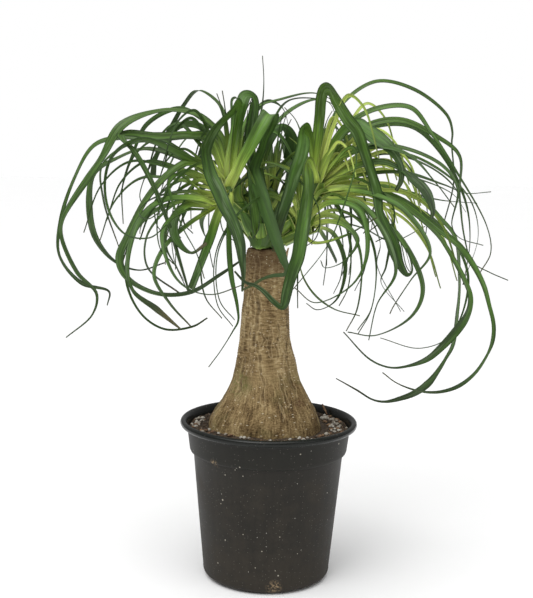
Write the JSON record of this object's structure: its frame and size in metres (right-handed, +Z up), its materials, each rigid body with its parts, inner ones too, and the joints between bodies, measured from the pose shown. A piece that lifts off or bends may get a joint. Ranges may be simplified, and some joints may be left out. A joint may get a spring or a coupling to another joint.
{
  "type": "potted ponytail palm",
  "caption": "Potted ponytail palm: a swollen fluted trunk in a round nursery pot of soil, topped with heads of long narrow leaves that arch out and curl down.",
  "frame": {"origin": "middle of the pot's flat underside, on the surface that it stands on", "axes": "+Z up the trunk; -Y towards the plant's front; +X to the right seen from the front"},
  "size_m": [0.5339, 0.3729, 0.5964],
  "materials": {
    "pot_plastic": "satin black moulded plastic with dust and a glossier lip",
    "soil": "damp dark potting mix with white perlite and tan bark grains",
    "bark": "dry tan corky bark with vertical flutes and fine cross wrinkles",
    "leaf": "smooth satin green blades with fine long veins, lime at the roots"
  },
  "bodies": {
    "root": {"nursery_pot": "pot_plastic", "potting_soil": "soil", "trunk": "bark", "leaf_crown": "leaf"}
  },
  "joints": []
}
